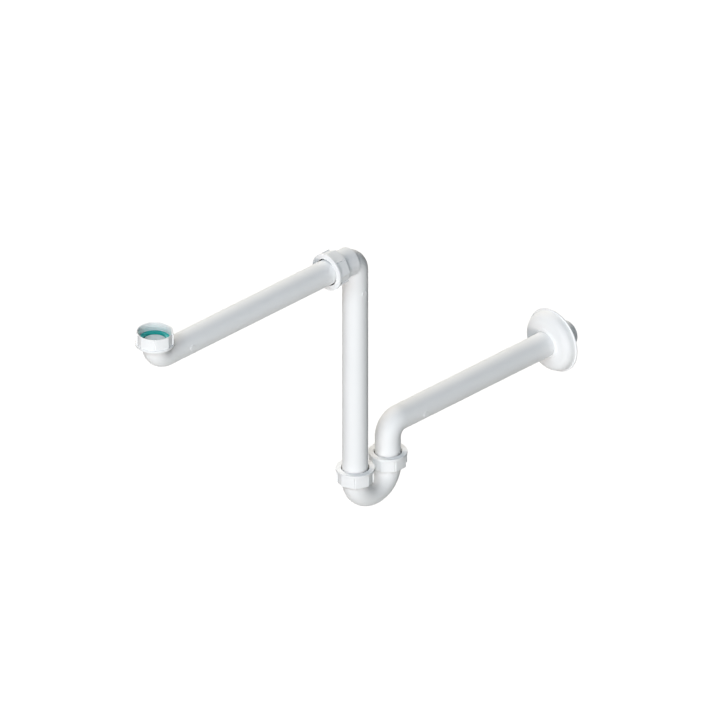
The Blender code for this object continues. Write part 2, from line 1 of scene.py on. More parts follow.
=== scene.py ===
# %% [markdown]
# # A space saving sink trap, dressed for the camera
# Under a wash basin this trap leads the water back to the wall first and down second, so the
# cupboard below keeps its room. It is made of a few white plastic mouldings that push into each
# other and are clamped by union nuts. The CAD model already has every part at its true size and
# place. This lesson loads that model, then makes each part again as a finer skin with rounded
# edges, screw threads and moulding marks, gives it its plastic, and lights it like a catalogue
# shot.

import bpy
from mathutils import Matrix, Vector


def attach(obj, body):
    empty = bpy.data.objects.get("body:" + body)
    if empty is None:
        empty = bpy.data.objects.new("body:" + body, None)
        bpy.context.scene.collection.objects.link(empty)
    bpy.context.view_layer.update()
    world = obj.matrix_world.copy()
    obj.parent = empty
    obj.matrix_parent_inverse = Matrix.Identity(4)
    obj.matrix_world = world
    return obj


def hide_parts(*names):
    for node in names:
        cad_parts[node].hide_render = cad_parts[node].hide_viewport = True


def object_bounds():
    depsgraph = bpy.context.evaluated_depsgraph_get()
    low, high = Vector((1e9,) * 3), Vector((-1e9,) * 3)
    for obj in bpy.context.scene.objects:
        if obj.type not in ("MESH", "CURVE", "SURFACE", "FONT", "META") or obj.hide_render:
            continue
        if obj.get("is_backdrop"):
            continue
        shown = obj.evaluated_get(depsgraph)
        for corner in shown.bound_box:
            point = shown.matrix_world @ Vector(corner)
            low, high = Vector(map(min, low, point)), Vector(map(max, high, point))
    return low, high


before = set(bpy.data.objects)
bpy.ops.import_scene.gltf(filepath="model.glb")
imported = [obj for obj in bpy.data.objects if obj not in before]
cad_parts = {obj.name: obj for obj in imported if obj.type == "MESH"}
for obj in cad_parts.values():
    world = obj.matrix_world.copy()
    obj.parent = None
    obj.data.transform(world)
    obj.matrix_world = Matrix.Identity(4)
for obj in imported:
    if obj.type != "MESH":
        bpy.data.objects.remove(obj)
cad_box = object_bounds()

# %% Modules and the unit
import math

import bmesh
import bpy
import numpy as np
from mathutils import Matrix, Vector

MM = 0.001
print("the parts are written in millimetres, and a mesh is scaled once by", MM)

# %% [markdown]
# ## One helper for every skin
# All parts of a trap are tubes: a pipe, a nut and a washer each have one outside, one bore and two
# ends. Such a shape can be turned with the Screw modifier, bevelled from a curve, or cut out by
# Booleans. Here it is laid up from rings of points instead, along the outside and back through the
# bore, because rings can follow a bend, carry a thread and close on themselves with plain quads.

# %% Weld a mesh
WELD_DISTANCE = 0.002


def weld(mesh):
    """Merge points that lie almost in one place, drop slivers, and turn every face outwards."""
    welded = bmesh.new()
    welded.from_mesh(mesh)
    bmesh.ops.remove_doubles(welded, verts=welded.verts, dist=WELD_DISTANCE * MM)
    bmesh.ops.dissolve_degenerate(welded, edges=welded.edges, dist=WELD_DISTANCE * MM)
    bmesh.ops.recalc_face_normals(welded, faces=welded.faces)
    welded.to_mesh(mesh)
    welded.free()


print("points within", WELD_DISTANCE, "mm of each other become one")


# %% Faces between rings
def ring_faces(rows, count, closed):
    """Quads between rows of rings with count points each. An open skin gets a cap at each end."""
    faces = []
    for here in range(rows if closed else rows - 1):
        there = (here + 1) % rows
        for side in range(count):
            after = (side + 1) % count
            faces.append((here * count + side, here * count + after,
                          there * count + after, there * count + side))
    if not closed:
        faces.append(tuple(range(count)))
        faces.append(tuple(range((rows - 1) * count, rows * count)))
    return faces


print("two rings of four points, left open, make a box of", len(ring_faces(2, 4, False)), "faces")


# %% Lay a skin over a row of rings
def skin(name, rings, closed=True):
    """A mesh over rings of equally many points. A closed skin ends where it began."""
    mesh = bpy.data.meshes.new(name)
    points = np.concatenate(rings) * MM
    mesh.from_pydata(points.tolist(), [], ring_faces(len(rings), len(rings[0]), closed))
    weld(mesh)
    made = bpy.data.objects.new(name, mesh)
    bpy.context.scene.collection.objects.link(made)
    return made


print("meshes of the CAD model, before the first skin:", len(bpy.data.meshes))

# %% Round the corners of a line
ARC_STEPS = 4


def rounded(corners):
    """Round a closed line of (across, along, rounding) corners. A rounding of 0 keeps a corner."""
    line = []
    places = [np.array(corner[:2], float) for corner in corners]
    for index, (_, _, rounding) in enumerate(corners):
        corner = places[index]
        if not rounding:
            line.append(corner)
            continue
        back = places[index - 1] - corner
        ahead = places[(index + 1) % len(places)] - corner
        back /= np.linalg.norm(back)
        ahead /= np.linalg.norm(ahead)
        half = math.acos(float(np.clip(back @ ahead, -1.0, 1.0))) / 2
        middle = (back + ahead) / np.linalg.norm(back + ahead)
        centre = corner + middle * rounding / math.sin(half)
        start = corner + back * rounding / math.tan(half) - centre
        end = corner + ahead * rounding / math.tan(half) - centre
        sweep = math.pi - 2 * half
        for step in range(ARC_STEPS + 1):
            share = step / ARC_STEPS
            arm = start * math.sin((1 - share) * sweep) + end * math.sin(share * sweep)
            line.append(centre + arm / math.sin(sweep))
    return line


square = rounded([(0, 0, 1), (9, 0, 1), (9, 9, 1), (0, 9, 1)])
print("a square with four round corners has", len(square), "points")

# %% Place points in a joint's own frame
FACING_UP = Matrix.Identity(4)
FACING_DOWN = Matrix.Rotation(math.pi, 4, "X")
FACING_WALL = Matrix.Rotation(-math.pi / 2, 4, "X")
FACING_SIDE = Matrix.Rotation(math.pi / 2, 4, "Y")


def joint_frame(x, y, z, facing):
    """A frame whose local Z runs along the joint's axis."""
    return Matrix.Translation((x, y, z)) @ facing


def to_world(points, at):
    """Move points out of a joint's frame."""
    matrix = np.array(at)
    return points @ matrix[:3, :3].T + matrix[:3, 3]


def to_local(points, at):
    """Move points into a joint's frame."""
    return to_world(points, at.inverted())


print("a frame facing the wall points along", tuple(round(value) for value in FACING_WALL.col[2][:3]))

# %% Turn a round part
SIDES = 128
ROUND = np.arange(SIDES) * 2 * math.pi / SIDES


def circle(radius, height, angles=ROUND):
    """One ring about the local Z axis. The radius may differ from point to point."""
    return np.column_stack([radius * np.cos(angles), radius * np.sin(angles),
                            np.full(len(angles), height)])


def turned(name, profile, at):
    """A round part from a closed line of (radius, height) points."""
    return skin(name, [to_world(circle(radius, height), at) for radius, height in profile])


print("a round part has", SIDES, "sides")

# %% [markdown]
# ## Materials
# White pipes like these are injection moulded polypropylene: a waxy, slightly translucent plastic
# with a satin skin copied from the steel mould. A single flat white would look like paper, so the
# skin gets what the eye reads without noticing: slow ripples from the melt's flow, a fine grain
# from the mould's polish, patches a touch glossier than others, and light that enters a little.


# %% Colours and sizes as a maker writes them
def colour(code):
    """Turn an sRGB hex code into the linear colour that a shader wants."""
    shares = [int(code[place:place + 2], 16) / 255 for place in (1, 3, 5)]
    linear = [share / 12.92 if share <= 0.04045 else ((share + 0.055) / 1.055) ** 2.4
              for share in shares]
    return (*linear, 1.0)


def pattern_scale(size):
    """The scale of a pattern whose marks are so many millimetres apart."""
    return 1 / (size * MM)


print("a middle grey is", [round(value, 3) for value in colour("#808080")], "to a shader")


# %% One helper that adds a node
def add_node(tree, kind, settings=(), links=()):
    """Add a shader node. Settings name its properties or inputs, links the sources of inputs."""
    made = tree.nodes.new(kind)
    for name, value in dict(settings).items():
        if isinstance(name, str) and hasattr(made, name):
            setattr(made, name, value)
        else:
            made.inputs[name].default_value = value
    for name, source in dict(links).items():
        tree.links.new(source, made.inputs[name])
    return made


def new_material(name):
    """An empty material and its node tree."""
    made = bpy.data.materials.new(name)
    made.use_nodes = True
    made.node_tree.nodes.clear()
    return made, made.node_tree


print("materials of the CAD model, before the first plastic:", len(bpy.data.materials))

# %% What moulded polypropylene gives the eye
# A clean cool white, a satin sheen with soft edged highlights, a faint parting line.
TINT_PATCH_SIZE = 60.0
FLOW_RIPPLE_SIZE = 22.0
FLOW_RIPPLE_HEIGHT = 0.12
# Mould polish leaves marks of about 0.05 mm. They are drawn at 0.7 mm, as coarse as shows here.
MOULD_GRAIN_SIZE = 0.7
MOULD_GRAIN_HEIGHT = 0.012
# The two mould halves met in the plane of the bends, which is x = 0 at rest.
PARTING_LINE_WIDTH = 0.3
PARTING_LINE_HEIGHT = 0.04
LIGHT_DEPTH = 1.2
print("ripples every", FLOW_RIPPLE_SIZE, "mm, grain every", MOULD_GRAIN_SIZE, "mm")


# %% The relief of the moulded skin
def moulded_relief(tree, where, ripples, has_parting_line):
    """The normal of the plastic's skin: waves, then grain, then the seam of the mould."""
    grain = add_node(tree, "ShaderNodeTexNoise",
                     {"Scale": pattern_scale(MOULD_GRAIN_SIZE), "Detail": 3.0}, {"Vector": where})
    waves = add_node(tree, "ShaderNodeBump", {"Strength": 0.35, "Distance": FLOW_RIPPLE_HEIGHT * MM},
                     {"Height": ripples.outputs["Fac"]})
    relief = add_node(tree, "ShaderNodeBump", {"Strength": 0.2, "Distance": MOULD_GRAIN_HEIGHT * MM},
                      {"Height": grain.outputs["Fac"], "Normal": waves.outputs["Normal"]})
    if has_parting_line:
        across = add_node(tree, "ShaderNodeSeparateXYZ", links={"Vector": where}).outputs["X"]
        distance = add_node(tree, "ShaderNodeMath", {"operation": "ABSOLUTE"}, {0: across})
        line = add_node(tree, "ShaderNodeMapRange",
                        {"From Min": 0.0, "From Max": PARTING_LINE_WIDTH * MM,
                         "To Min": 1.0, "To Max": 0.0},
                        {"Value": distance.outputs[0]})
        relief = add_node(tree, "ShaderNodeBump",
                          {"Strength": 0.5, "Distance": PARTING_LINE_HEIGHT * MM},
                          {"Height": line.outputs["Result"], "Normal": relief.outputs["Normal"]})
    return relief.outputs["Normal"]


print("the parting line is", PARTING_LINE_WIDTH * 2, "mm wide and", PARTING_LINE_HEIGHT, "mm high")


# %% Injection moulded polypropylene, white
def moulded_polypropylene(name, has_parting_line):
    """White satin plastic. Pipes show where the mould halves met, nuts don't."""
    made, tree = new_material(name)
    where = add_node(tree, "ShaderNodeTexCoord").outputs["Object"]
    patches = add_node(tree, "ShaderNodeTexNoise",
                       {"Scale": pattern_scale(TINT_PATCH_SIZE), "Detail": 2.0}, {"Vector": where})
    tint = add_node(tree, "ShaderNodeMix",
                    {"data_type": "RGBA", 6: colour("#F3F4F5"), 7: colour("#F7F8F8")},
                    {0: patches.outputs["Fac"]})
    ripples = add_node(tree, "ShaderNodeTexNoise",
                       {"Scale": pattern_scale(FLOW_RIPPLE_SIZE), "Detail": 1.0}, {"Vector": where})
    gloss = add_node(tree, "ShaderNodeMapRange",
                     {"From Min": 0.3, "From Max": 0.7, "To Min": 0.46, "To Max": 0.54},
                     {"Value": ripples.outputs["Fac"]})
    # The specular level is low: seen edge on, this satin skin hardly turns white.
    shader = add_node(tree, "ShaderNodeBsdfPrincipled",
                      {"IOR": 1.49, "Specular IOR Level": 0.15, "Subsurface Weight": 0.08,
                       "Subsurface Radius": (1.0, 1.0, 1.0), "Subsurface Scale": LIGHT_DEPTH * MM},
                      {"Base Color": tint.outputs[2], "Roughness": gloss.outputs["Result"],
                       "Normal": moulded_relief(tree, where, ripples, has_parting_line)})
    add_node(tree, "ShaderNodeOutputMaterial", links={"Surface": shader.outputs["BSDF"]})
    return made


PIPE_PLASTIC = moulded_polypropylene("moulded_polypropylene_pipe", True)
NUT_PLASTIC = moulded_polypropylene("moulded_polypropylene_nut", False)
print("made", PIPE_PLASTIC.name, "and", NUT_PLASTIC.name)

# %% [markdown]
# ### The parts that seal
# Three other plastics hide in the joints. The slip rings are natural polyethylene, milky and
# waxy. The cone seals are black EPDM rubber, which is matt and grips. The flat washer at the
# inlet is a teal thermoplastic elastomer, smooth on its faces, with faint rings from its tool.

# %% Natural polyethylene, moulded
# To the eye: milky white that is a little warmer and duller than the pipes.
WAX_CLOUD_SIZE = 6.0
WAX_CLOUD_HEIGHT = 0.03
WAX_LIGHT_DEPTH = 1.5

RING_PLASTIC, tree = new_material("natural_polyethylene")
where = add_node(tree, "ShaderNodeTexCoord").outputs["Object"]
cloud = add_node(tree, "ShaderNodeTexNoise",
                 {"Scale": pattern_scale(WAX_CLOUD_SIZE), "Detail": 2.0}, {"Vector": where})
tint = add_node(tree, "ShaderNodeMix",
                {"data_type": "RGBA", 6: colour("#E6E7E1"), 7: colour("#EEEEE9")},
                {0: cloud.outputs["Fac"]})
wax = add_node(tree, "ShaderNodeBump", {"Strength": 0.3, "Distance": WAX_CLOUD_HEIGHT * MM},
               {"Height": cloud.outputs["Fac"]})
shader = add_node(tree, "ShaderNodeBsdfPrincipled",
                  {"IOR": 1.51, "Roughness": 0.42, "Subsurface Weight": 0.25,
                   "Subsurface Radius": (1.0, 1.0, 0.9), "Subsurface Scale": WAX_LIGHT_DEPTH * MM},
                  {"Base Color": tint.outputs[2], "Normal": wax.outputs["Normal"]})
add_node(tree, "ShaderNodeOutputMaterial", links={"Surface": shader.outputs["BSDF"]})
print("made", RING_PLASTIC.name, "with", len(tree.nodes), "nodes")

# %% Moulded EPDM rubber, black
# To the eye: deep matt grey-black with a dry bloom, never a sharp highlight.
BLOOM_SIZE = 4.0
RUBBER_GRAIN_SIZE = 0.5
RUBBER_GRAIN_HEIGHT = 0.03

SEAL_RUBBER, tree = new_material("epdm_rubber")
where = add_node(tree, "ShaderNodeTexCoord").outputs["Object"]
bloom = add_node(tree, "ShaderNodeTexNoise",
                 {"Scale": pattern_scale(BLOOM_SIZE), "Detail": 4.0}, {"Vector": where})
tint = add_node(tree, "ShaderNodeMix",
                {"data_type": "RGBA", 6: colour("#1E1E1F"), 7: colour("#2C2C2D")},
                {0: bloom.outputs["Fac"]})
rough = add_node(tree, "ShaderNodeMapRange", {"To Min": 0.62, "To Max": 0.8},
                 {"Value": bloom.outputs["Fac"]})
grain = add_node(tree, "ShaderNodeTexNoise",
                 {"Scale": pattern_scale(RUBBER_GRAIN_SIZE), "Detail": 2.0}, {"Vector": where})
bumps = add_node(tree, "ShaderNodeBump", {"Strength": 0.4, "Distance": RUBBER_GRAIN_HEIGHT * MM},
                 {"Height": grain.outputs["Fac"]})
shader = add_node(tree, "ShaderNodeBsdfPrincipled", {"IOR": 1.52},
                  {"Base Color": tint.outputs[2], "Roughness": rough.outputs["Result"],
                   "Normal": bumps.outputs["Normal"]})
add_node(tree, "ShaderNodeOutputMaterial", links={"Surface": shader.outputs["BSDF"]})
print("made", SEAL_RUBBER.name, "with", len(tree.nodes), "nodes")

# %% Thermoplastic elastomer, teal
# To the eye: saturated blue-green, soft sheen, faint rings about the hole from the turned tool.
DYE_CLOUD_SIZE = 9.0
TOOL_RING_PITCH = 0.6
TOOL_RING_HEIGHT = 0.02
# The wave texture makes about this many rings in each unit of length at a scale of 1.
RINGS_PER_UNIT = 3.18

WASHER_RUBBER, tree = new_material("teal_elastomer")
where = add_node(tree, "ShaderNodeTexCoord").outputs["Object"]
cloud = add_node(tree, "ShaderNodeTexNoise",
                 {"Scale": pattern_scale(DYE_CLOUD_SIZE), "Detail": 2.0}, {"Vector": where})
tint = add_node(tree, "ShaderNodeMix",
                {"data_type": "RGBA", 6: colour("#17ADA8"), 7: colour("#1EB9B3")},
                {0: cloud.outputs["Fac"]})
rings = add_node(tree, "ShaderNodeTexWave",
                 {"wave_type": "RINGS", "rings_direction": "Z",
                  "Scale": pattern_scale(TOOL_RING_PITCH * RINGS_PER_UNIT)},
                 {"Vector": where})
bumps = add_node(tree, "ShaderNodeBump", {"Strength": 0.25, "Distance": TOOL_RING_HEIGHT * MM},
                 {"Height": rings.outputs["Fac"]})
shader = add_node(tree, "ShaderNodeBsdfPrincipled", {"IOR": 1.5, "Roughness": 0.45},
                  {"Base Color": tint.outputs[2], "Normal": bumps.outputs["Normal"]})
add_node(tree, "ShaderNodeOutputMaterial", links={"Surface": shader.outputs["BSDF"]})
print("made", WASHER_RUBBER.name, "with", len(tree.nodes), "nodes")

# %% [markdown]
# ## Finishing a piece
# Every piece hangs on the body of the mechanism that it moves with, takes the place of the CAD
# parts that it stands for, which are hidden, and wears its finish. Its shading is settled at the same
# moment: smooth everywhere, but with weighted normals, so a broad flat face stays flat and only the
# small round edge turns.


# %% Make modifiers into plain mesh
def settle(piece):
    """Give a piece the mesh that its modifiers make, and drop the modifiers."""
    bpy.context.view_layer.update()
    view = bpy.context.evaluated_depsgraph_get()
    shape = bpy.data.meshes.new_from_object(piece.evaluated_get(view))
    piece.modifiers.clear()
    piece.data = shape


# %% Finish a piece
SMOOTH_UP_TO = math.radians(40.0)


def finished(piece, material, slot, body, *nodes):
    """Shade a piece, give it its material, hang it on its body and hide the CAD parts it stands for.
    """
    weigh = piece.modifiers.new("Weighted normals", "WEIGHTED_NORMAL")
    weigh.keep_sharp = True
    piece.data.shade_smooth()
    piece.data.set_sharp_from_angle(angle=SMOOTH_UP_TO)
    piece.data.materials.clear()
    piece.data.materials.append(material)
    settle(piece)
    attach(piece, body)
    if nodes:
        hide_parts(*nodes)
    print("%-28s %6d faces, rides on %s" % (piece.name, len(piece.data.polygons), body))


print("an edge stays sharp from", round(math.degrees(SMOOTH_UP_TO)), "degrees on")

# %% [markdown]
# ## Screw threads
# The nuts and sockets carry a G 1 1/4 pipe thread, 11 turns to the inch. A thread can be made
# with the Screw modifier and a Boolean, but the two spirals then fight over every vertex. Here a
# ring's radius just rises and falls with its height and its angle, so the bore stays one clean
# skin. Nut and socket use the same wave, so their threads mesh at rest and stay meshed when the
# nut turns and travels.

# %% The thread's wave
THREAD_PITCH = 25.4 / 11
THREAD_DEPTH = 0.55
THREAD_RUNOUT = 1.5


def thread_wave(local, first, last):
    """How far each point lies on the thread's wave, from 0 to 1, fading out at both ends."""
    height = local[:, 2]
    turns = np.arctan2(local[:, 1], local[:, 0]) / (2 * math.pi)
    wave = 0.5 + 0.5 * np.cos(2 * math.pi * (height / THREAD_PITCH - turns))
    fade = np.clip(np.minimum(height - first, last - height) / THREAD_RUNOUT, 0.0, 1.0)
    return wave * fade


def threaded(points, at, first, last):
    """Cut the thread into a ring by moving its points towards the axis."""
    local = to_local(points, at)
    radius = np.hypot(local[:, 0], local[:, 1])
    share = 1 - THREAD_DEPTH * thread_wave(local, first, last) / radius
    local[:, :2] *= share[:, None]
    return to_world(local, at)


print("thread pitch %.3f mm, depth %.2f mm" % (THREAD_PITCH, THREAD_DEPTH))

# %% [markdown]
# ## Where the joints are
# Each compression joint has one axis, and everything in it is measured from the closed face of
# its nut: the slip ring, the rubber cone and the mouth of the socket follow in that order. Four
# frames are enough to place every turned part of the trap.

# %% Axes and nut faces
INLET_AXIS_Z = -28.6
OUTLET_AXIS_Z = -283.8
DOWN_PIPE_Y = 346.0
OUTLET_Y = 402.5
INLET_NUT_Z = -8.8
ELBOW_NUT_Y = 296.0
TRAP_NUT_Z = -323.4
print("the level legs are %.1f mm apart" % (INLET_AXIS_Z - OUTLET_AXIS_Z))

# %% The joints' frames
INLET_JOINT = joint_frame(0, 0, INLET_NUT_Z, FACING_UP)
ELBOW_JOINT = joint_frame(0, ELBOW_NUT_Y, INLET_AXIS_Z, FACING_WALL)
TRAP_INLET_JOINT = joint_frame(0, DOWN_PIPE_Y, TRAP_NUT_Z, FACING_DOWN)
TRAP_OUTLET_JOINT = joint_frame(0, OUTLET_Y, TRAP_NUT_Z, FACING_DOWN)
print("the elbow's nut starts at", tuple(round(value, 1) for value in ELBOW_JOINT.translation))

# %% [markdown]
# ## The union nuts
# A hand tightened nut has broad grip pads rather than a hexagon: three pads, each of two slightly
# crowned faces that meet in a fine groove, with hollows between for the finger tips. Its closed
# end is a plain round collar. The plan could be drawn as a curve and extruded, as the CAD model
# does. As rings, the same plan can shrink at the mouth and blend into the collar, which gives the
# soft edges that catch the light. The groove is cut twice as deep and wide as in the CAD model,
# because at this picture's size a finer line is lost.

# %% The face of a grip pad
RIDGE_RADIUS = 23.6
PAD_CORNER_RADIUS = 24.0
PAD_HALF_ANGLE = math.radians(46.0)
FACE_CROWN = 0.6


def pad_radius(angle):
    """How far a pad's crowned face stands from the axis, at an angle from the pad's groove."""
    corner_x = PAD_CORNER_RADIUS * math.cos(PAD_HALF_ANGLE)
    corner_y = PAD_CORNER_RADIUS * math.sin(PAD_HALF_ANGLE)
    chord = math.hypot(corner_x - RIDGE_RADIUS, corner_y)
    distance = RIDGE_RADIUS * corner_y / chord
    foot = math.atan2(RIDGE_RADIUS - corner_x, corner_y)
    share = angle / PAD_HALF_ANGLE
    return distance / math.cos(angle - foot) + FACE_CROWN * 4 * share * (1 - share)


print("the face is %.2f mm from the axis halfway along" % pad_radius(PAD_HALF_ANGLE / 2))

# %% The nut's plan
PADS = 3
PAD_STEP = 2 * math.pi / PADS
RECESS_RADIUS = 22.3
PAD_WALL_DRAFT = math.radians(0.6)
PAD_EDGE = 0.35
PAD_FOOT = 0.15
FACE_POINTS = 10
HOLLOW_STEPS = 6
GROOVE_DEPTH = 1.1
GROOVE_HALF_ANGLE = math.radians(2.9)
GROOVE_FLOOR_HALF_ANGLE = math.radians(0.3)


def nut_plan(turn):
    """The nut's outline seen from above, as a closed line that starts at the foot of a pad."""
    face = [(angle, pad_radius(angle), 0.0)
            for angle in np.linspace(GROOVE_HALF_ANGLE, PAD_HALF_ANGLE, FACE_POINTS)]
    face[-1] = (PAD_HALF_ANGLE, pad_radius(PAD_HALF_ANGLE), PAD_EDGE)
    foot_angle = PAD_HALF_ANGLE + PAD_WALL_DRAFT
    right = face + [(foot_angle, RECESS_RADIUS, PAD_FOOT)]
    left = [(-angle, radius, soft) for angle, radius, soft in reversed(right)]
    groove = [(side * GROOVE_FLOOR_HALF_ANGLE, RIDGE_RADIUS - GROOVE_DEPTH, 0.0)
              for side in (-1, 1)]
    hollow = [(angle, RECESS_RADIUS, 0.0)
              for angle in np.linspace(foot_angle, PAD_STEP - foot_angle, HOLLOW_STEPS + 1)[1:-1]]
    line = []
    for pad in range(PADS):
        middle = turn + pad * PAD_STEP
        for angle, radius, soft in left + groove + right + hollow:
            line.append((radius * math.cos(middle + angle), radius * math.sin(middle + angle), soft))
    return np.array(rounded(line))


plan = nut_plan(0.0)
print("the nut's plan has", len(plan), "points and reaches %.2f mm" % np.hypot(*plan.T).max())

# %% The nut's outside
NUT_HEIGHT = 18.0
NUT_WEB = 2.4
NUT_HOLE_RADIUS = 17.5
NUT_BORE_RADIUS = 20.9
COLLAR_RADIUS = 24.1
COLLAR_HEIGHT = 3.2
NUT_EDGE = 0.5
COLLAR_EDGE = 0.3
HOLE_EDGE = 0.2
MOUTH_CHAMFER = 0.6
FILLET = 0.3
# The fillet's middle ring stands this far off the pad and off the collar.
FILLET_MIDDLE = 0.08
# The fillet goes no further out than the flat part of the collar's face.
COLLAR_FLAT_RADIUS = COLLAR_RADIUS - 0.35


def nut_outside(reach, angles):
    """Rings from the bore's floor through the hole, round the collar and up the pads."""
    collar = rounded([
        (NUT_BORE_RADIUS, NUT_WEB, 0), (NUT_HOLE_RADIUS, NUT_WEB, HOLE_EDGE),
        (NUT_HOLE_RADIUS, 0.0, HOLE_EDGE), (COLLAR_RADIUS, 0.0, NUT_EDGE),
        (COLLAR_RADIUS, COLLAR_HEIGHT, COLLAR_EDGE), (RECESS_RADIUS, COLLAR_HEIGHT, 0)])
    rings = [circle(radius, height, angles) for radius, height in collar[:-1]]
    rings.append(circle(np.minimum(reach + FILLET, COLLAR_FLAT_RADIUS), COLLAR_HEIGHT, angles))
    rings.append(circle(reach + FILLET_MIDDLE, COLLAR_HEIGHT + FILLET_MIDDLE, angles))
    rings.append(circle(reach, COLLAR_HEIGHT + FILLET, angles))
    for lean in np.linspace(0.0, math.pi / 2, ARC_STEPS + 1):
        inset = NUT_EDGE * (1 - math.cos(lean))
        rings.append(circle(reach - inset, NUT_HEIGHT - NUT_EDGE + NUT_EDGE * math.sin(lean), angles))
    rings.append(circle(NUT_BORE_RADIUS + MOUTH_CHAMFER, NUT_HEIGHT, angles))
    return rings


round_nut = nut_outside(np.full(SIDES, RECESS_RADIUS), ROUND)
print("the outside of a nut takes", len(round_nut), "rings")

# %% The nut's threaded bore
THREAD_TOP = NUT_HEIGHT - MOUTH_CHAMFER
THREAD_RINGS_PER_TURN = 8
THREAD_RINGS = int((THREAD_TOP - NUT_WEB) / THREAD_PITCH * THREAD_RINGS_PER_TURN)


def nut_bore(at, angles):
    """Rings from the mouth back down to the bore's floor, cut with the thread."""
    return [threaded(to_world(circle(NUT_BORE_RADIUS, height, angles), at), at, NUT_WEB, THREAD_TOP)
            for height in np.linspace(THREAD_TOP, NUT_WEB, THREAD_RINGS + 1)]


print("the bore has %.1f turns of thread" % ((THREAD_TOP - NUT_WEB) / THREAD_PITCH))

# %% The four nuts
# The last value turns a nut until its pads stand as in the picture, in degrees.
for node, at, turn in (
    ("inlet_nut", INLET_JOINT, -45.0),
    ("elbow_nut", ELBOW_JOINT, -49.0),
    ("trap_inlet_nut", TRAP_INLET_JOINT, 45.0),
    ("trap_outlet_nut", TRAP_OUTLET_JOINT, 21.4),
):
    outline = nut_plan(math.radians(turn))
    angles = np.arctan2(outline[:, 1], outline[:, 0])
    reach = np.hypot(outline[:, 0], outline[:, 1])
    nut_rings = [to_world(ring, at) for ring in nut_outside(reach, angles)] + nut_bore(at, angles)
    nut = skin("moulded_" + node, nut_rings)
    finished(nut, NUT_PLASTIC, "white_polypropylene", node, node)

# %% [markdown]
# ## What each nut presses
# Behind the nut's collar sits a slip ring, so the turning nut doesn't drag on the rubber, and
# behind that the cone seal, which is squeezed into the socket's cone and onto the pipe. They
# could be left out of the picture, but the joints can be opened, and the black rubber is what
# makes the gap round a pipe dark. So both are turned from profiles, and the slip ring's bore is
# wider than the CAD model's and bevelled, which lets the seal show.

# %% The slip ring's profile
RING_FOOT = 2.7
RING_TOP = 4.1
RING_RADIUS = 20.3
RING_BORE_RADIUS = 17.2
RING_BEVEL_RADIUS = 18.6
SLIP_RING = rounded([(RING_BORE_RADIUS, RING_TOP, 0.15), (RING_RADIUS, RING_TOP, 0.2),
                     (RING_RADIUS, RING_FOOT, 0.2), (RING_BEVEL_RADIUS, RING_FOOT, 0.2)])
print("a slip ring is %.1f mm high" % (RING_TOP - RING_FOOT))

# %% The cone seal's profile
SLIDING_RADIUS = 16.35
SEAL_RADIUS = 20.0
SEAL_CONE_RADIUS = 19.45
SEAL_TIP_RADIUS = 16.95
SEAL_FOOT = 4.4
SEAL_SHOULDER = 5.5
SEAL_TIP = 9.78
CONE_SEAL = rounded([
    (SLIDING_RADIUS, SEAL_TIP, 0.1), (SEAL_TIP_RADIUS, SEAL_TIP, 0.2),
    (SEAL_CONE_RADIUS, SEAL_SHOULDER, 0.1), (SEAL_RADIUS, SEAL_SHOULDER, 0.2),
    (SEAL_RADIUS, SEAL_FOOT, 0.3), (SLIDING_RADIUS, SEAL_FOOT, 0.2)])
print("a cone seal is %.2f mm high" % (SEAL_TIP - SEAL_FOOT))

# %% A slip ring and a seal in each compression joint
for joint, at in (
    ("elbow", ELBOW_JOINT),
    ("trap_inlet", TRAP_INLET_JOINT),
    ("trap_outlet", TRAP_OUTLET_JOINT),
):
    ring_node = joint + "_slip_ring"
    seal_node = joint + "_seal"
    ring = turned("turned_" + ring_node, SLIP_RING, at)
    finished(ring, RING_PLASTIC, "natural_polyethylene", ring_node, ring_node)
    seal = turned("moulded_" + seal_node, CONE_SEAL, at)
    finished(seal, SEAL_RUBBER, "black_rubber", seal_node, seal_node)

# %% The inlet washer
WASHER_BORE_RADIUS = 14.0
WASHER_RADIUS = 19.0
WASHER_FOOT_Z = -3.5
WASHER = rounded([
    (WASHER_BORE_RADIUS, 0.0, 0.5), (WASHER_RADIUS, 0.0, 0.5),
    (WASHER_RADIUS, WASHER_FOOT_Z, 0.4), (WASHER_BORE_RADIUS, WASHER_FOOT_Z, 0.4)])
washer = turned("moulded_inlet_washer", WASHER, FACING_UP)
finished(washer, WASHER_RUBBER, "teal_elastomer", "inlet", "inlet_washer")

# %% [markdown]
# ## The pipes
# Each pipe is one moulding: legs and elbows in a single piece, of even wall, so the melt fills it
# without sinks. A bevelled curve would give the same tube, but not the flange, the cups and the
# rounded tips. A station says where the pipe's centre is, which way it heads and how thick it is
# there, and rings at the stations make the skin.

# %% Stations along a pipe
BEND_STEPS = 32


def leg(y, z, heading, profile):
    """Stations on a straight leg, from (distance, radius) points along its heading in degrees."""
    way = math.radians(heading)
    return [(y + along * math.cos(way), z + along * math.sin(way), way, radius)
            for along, radius in profile]


def bend(centre_y, centre_z, reach, first, last, radius):
    """Stations round an elbow, from one heading to another in degrees."""
    side = 1 if last > first else -1
    return [(centre_y + side * reach * math.sin(way), centre_z - side * reach * math.cos(way),
             way, radius)
            for way in np.radians(np.linspace(first, last, BEND_STEPS + 1))]


print("an elbow has", BEND_STEPS + 1, "stations")


# %% A skin over stations
def rings_at(stations):
    """One ring at each station, square to the pipe."""
    rings = []
    for y, z, way, radius in stations:
        across = radius * np.sin(ROUND)
        rings.append(np.column_stack([radius * np.cos(ROUND), y - across * math.sin(way),
                                      z + across * math.cos(way)]))
    return rings


def tube(name, outside, bore):
    """A pipe from the stations of its outside and of its bore, both in the same direction."""
    return skin(name, rings_at(outside) + rings_at(bore[::-1]))


print("the skin of an elbow takes", SIDES * len(rings_at(bend(0, 0, 1, 0, 90, 1))), "points")

